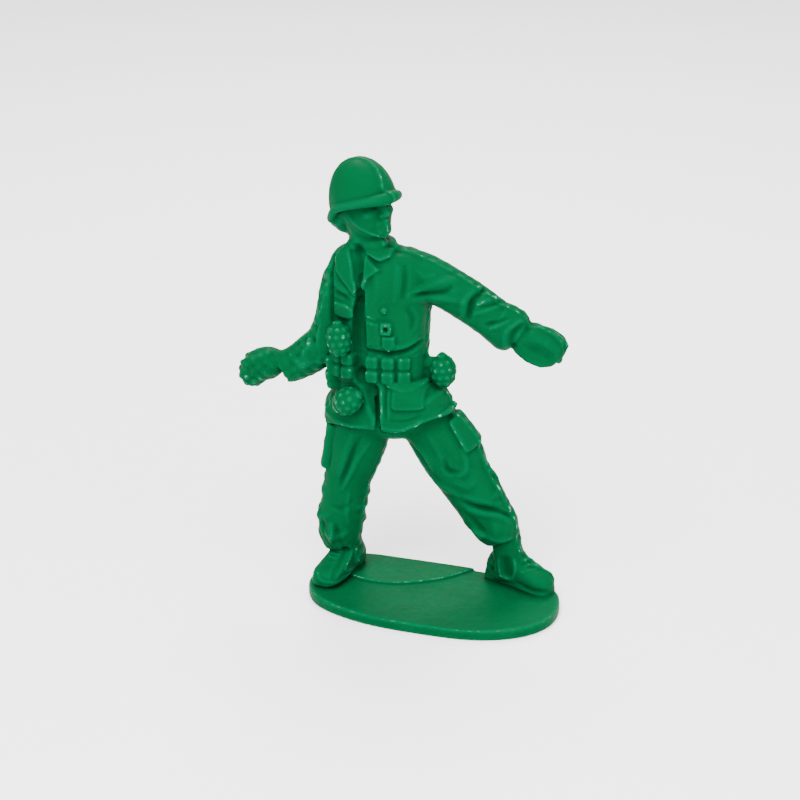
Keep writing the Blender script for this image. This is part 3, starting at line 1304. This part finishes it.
def pieces():
    """One object for each node, with how worn and how deep in a hollow each point is."""
    points, quads = only_main(*skin_of_whole())
    normals = vertex_normals(points, quads)
    label = face_owners(points, quads)
    soft = whole.copy()
    soft.d = blurred(whole.d, SOFT_PASSES)
    wide = whole.copy()
    wide.d = blurred(whole.d, WIDE_PASSES)
    wear = (sample(soft, points) - sample(whole, points)) / STEP
    cavity = (sample(wide, points) - sample(whole, points)) / STEP
    count = len(points)
    made = {}
    for number, node in enumerate(NAMES):
        own = quads[label == number]
        if not len(own):
            continue
        ends = np.stack([own, np.roll(own, -1, axis=1)], -1).reshape(-1, 2)
        keys = ends[:, 0] * count + ends[:, 1]
        open_edges = ends[~np.isin(keys, ends[:, 1] * count + ends[:, 0])]
        used = np.unique(own)
        index = np.full(count, -1)
        index[used] = np.arange(len(used))
        extra, caps = [], []
        for loop in simple_loops(open_edges):
            tip = inner_point(points[loop], normals[loop])
            if tip is None:
                continue
            apex = len(used) + len(extra)
            extra.append(tip)
            around = index[loop]
            after = np.roll(around, -1)
            tips = np.full(len(loop), apex)
            caps.append(np.stack([after, around, tips, np.full(len(loop), -1)], -1))
        own_points = np.concatenate([points[used], np.array(extra).reshape(-1, 3)])
        own_normals = np.concatenate([normals[used], np.tile([0.0, 0.0, 1.0], (len(extra), 1))])
        faces = np.concatenate([index[own]] + caps)
        none = np.zeros(len(extra))
        marks = {"wear": np.concatenate([wear[used], none]), "cavity": np.concatenate([cavity[used], none])}
        made[node] = as_mesh("moulded_" + node, own_points, faces, own_normals, marks)
    return made


# Plastic

BODY_GREEN = (0.0, 0.0470, 0.0142, 1.0)
BODY_GREEN_LIGHT = (0.0, 0.0540, 0.0170, 1.0)
DEEP_GREEN = (0.0, 0.0190, 0.0055, 1.0)
WORN_GREEN = (0.0, 0.098, 0.040, 1.0)
RUBBED_GREEN = (0.13, 0.38, 0.26, 1.0)
SHEEN_GREEN = (0.05, 1.0, 0.55, 1.0)


def nodes_for(material):
    tree = material.node_tree

    def add(kind, **settings):
        node = tree.nodes.new(kind)
        for key, value in settings.items():
            if hasattr(node, key) and not isinstance(getattr(node, key), bpy.types.bpy_prop_collection):
                setattr(node, key, value)
            else:
                node.inputs[key.replace("_", " ")].default_value = value
        return node

    return add, tree.links.new


def plastic():
    """Satin green polyethylene: soft mould waves, fine skin, paler worn ridges, deeper hollows."""
    made = bpy.data.materials.new("green_polyethylene")
    made.use_nodes = True
    tree = made.node_tree
    shader = tree.nodes["Principled BSDF"]
    add, link = nodes_for(made)
    where = add("ShaderNodeTexCoord")
    scale = add("ShaderNodeMapping")
    scale.inputs["Scale"].default_value = (1000.0,) * 3
    link(where.outputs["Object"], scale.inputs["Vector"])

    def noise(size, detail, rough=0.5):
        node = add("ShaderNodeTexNoise")
        node.inputs["Scale"].default_value = size
        node.inputs["Detail"].default_value = detail
        node.inputs["Roughness"].default_value = rough
        link(scale.outputs["Vector"], node.inputs["Vector"])
        return node.outputs["Fac"]

    def spread(value, low, high, new_low, new_high):
        node = add("ShaderNodeMapRange")
        limits = {"From Min": low, "From Max": high, "To Min": new_low, "To Max": new_high}
        for key, number in limits.items():
            node.inputs[key].default_value = number
        link(value, node.inputs["Value"])
        return node.outputs["Result"]

    def mix(factor, first, second):
        node = add("ShaderNodeMix", data_type="RGBA")
        link(factor, node.inputs["Factor"])
        for socket, value in ((node.inputs[6], first), (node.inputs[7], second)):
            if isinstance(value, tuple):
                socket.default_value = value
            else:
                link(value, socket)
        return node.outputs[2]

    def mark(name):
        return add("ShaderNodeAttribute", attribute_name=name).outputs["Fac"]

    body = mix(spread(noise(0.22, 3.0), 0.35, 0.65, 0.0, 1.0), BODY_GREEN, BODY_GREEN_LIGHT)
    deep = mix(spread(mark("cavity"), -0.05, -1.0, 0.0, 0.85), body, DEEP_GREEN)
    worn = mix(spread(mark("wear"), 0.05, 0.4, 0.0, 0.45), deep, WORN_GREEN)
    rubbed = spread(mark("wear"), 0.3, 0.55, 0.0, 0.85)
    patchy = add("ShaderNodeMath", operation="MULTIPLY")
    link(rubbed, patchy.inputs[0])
    link(spread(noise(1.6, 3.0), 0.56, 0.66, 0.0, 1.0), patchy.inputs[1])
    rubbed = mix(patchy.outputs[0], worn, RUBBED_GREEN)
    link(rubbed, shader.inputs["Base Color"])
    link(spread(noise(0.9, 4.0), 0.3, 0.7, 0.42, 0.56), shader.inputs["Roughness"])
    shader.inputs["IOR"].default_value = 1.5
    shader.inputs["Specular IOR Level"].default_value = 0.02
    shader.inputs["Specular Tint"].default_value = SHEEN_GREEN
    shader.inputs["Subsurface Weight"].default_value = 0.08
    shader.inputs["Subsurface Radius"].default_value = (0.2, 1.0, 0.5)
    shader.inputs["Subsurface Scale"].default_value = 0.0008
    waves = add("ShaderNodeBump")
    waves.inputs["Strength"].default_value = 0.5
    waves.inputs["Distance"].default_value = 0.0001
    link(noise(0.8, 2.0), waves.inputs["Height"])
    grain = add("ShaderNodeBump")
    grain.inputs["Strength"].default_value = 0.35
    grain.inputs["Distance"].default_value = 0.00003
    link(noise(6.0, 3.0, 0.6), grain.inputs["Height"])
    link(waves.outputs["Normal"], grain.inputs["Normal"])
    link(grain.outputs["Normal"], shader.inputs["Normal"])
    return made


green = plastic()
for node, piece in pieces().items():
    piece.data.materials.append(green)
    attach(piece, "root")
    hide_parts(node)


# Stage

WORLD_LIGHT = 1.7
FLOOR_REACH = 40  # figure heights
# Name, degrees round from the front, degrees up, distance and size in figure heights, watts
LAMPS = (
    ("key", 5.0, 55.0, 7.0, 5.0, 3.6),
    ("fill", 70.0, 25.0, 8.0, 6.0, 0.9),
    ("rim", 200.0, 50.0, 7.0, 3.0, 1.6),
)
CAMERA_AZIMUTH = 22.0
CAMERA_ELEVATION = 20.0
CAMERA_DISTANCE = 0.300
CAMERA_LENS = 114.4
CAMERA_AIM = (1.54, -1.96, -0.05)  # from the middle of the figure, in millimetres


def direction(azimuth, elevation):
    """Degrees round from the front, and up."""
    a, e = math.radians(azimuth), math.radians(elevation)
    return Vector((math.sin(a) * math.cos(e), -math.cos(a) * math.cos(e), math.sin(e)))


def placed(data, way, location):
    """An object that looks back along a direction."""
    made = bpy.data.objects.new(data.name, data)
    bpy.context.scene.collection.objects.link(made)
    made.location = location
    made.rotation_euler = (-way).to_track_quat("-Z", "Y").to_euler()
    return made


def stage():
    low, high = [Vector(corner) for corner in CAD_BOX]
    tall = high.z - low.z
    middle = Vector(((low.x + high.x) / 2, (low.y + high.y) / 2, tall * 0.49))
    mesh = bpy.data.meshes.new("floor")
    r = FLOOR_REACH * tall
    mesh.from_pydata([(-r, -r, 0), (r, -r, 0), (r, r, 0), (-r, r, 0)], [], [(0, 1, 2, 3)])
    floor = bpy.data.objects.new("studio_floor", mesh)
    bpy.context.scene.collection.objects.link(floor)
    paper = bpy.data.materials.new("pale_paper")
    paper.use_nodes = True
    add, link = nodes_for(paper)
    shader = paper.node_tree.nodes["Principled BSDF"]
    shade = add("ShaderNodeTexNoise")
    shade.inputs["Scale"].default_value = 400.0
    ramp = add("ShaderNodeValToRGB")
    ramp.color_ramp.elements[0].color = (0.94, 0.94, 0.94, 1)
    ramp.color_ramp.elements[1].color = (0.96, 0.96, 0.96, 1)
    link(shade.outputs["Fac"], ramp.inputs["Fac"])
    link(ramp.outputs["Color"], shader.inputs["Base Color"])
    shader.inputs["Roughness"].default_value = 0.9
    mesh.materials.append(paper)

    world = bpy.context.scene.world or bpy.data.worlds.new("studio")
    bpy.context.scene.world = world
    world.use_nodes = True
    backdrop = world.node_tree.nodes.get("Background") or world.node_tree.nodes.new("ShaderNodeBackground")
    backdrop.inputs["Color"].default_value = (1, 1, 1, 1)
    backdrop.inputs["Strength"].default_value = WORLD_LIGHT

    for name, azimuth, elevation, distance, size, power in LAMPS:
        lamp = bpy.data.lights.new(name, "AREA")
        lamp.shape = "DISK"
        lamp.size = size * tall
        lamp.energy = power
        way = direction(azimuth, elevation)
        placed(lamp, way, middle + way * (distance * tall))

    camera = bpy.data.cameras.new("camera")
    camera.lens = CAMERA_LENS
    camera.sensor_width = 36.0
    camera.clip_start = 0.01
    way = direction(CAMERA_AZIMUTH, CAMERA_ELEVATION)
    aim = middle + Vector(CAMERA_AIM) * MM
    bpy.context.scene.camera = placed(camera, way, aim + way * CAMERA_DISTANCE)


stage()
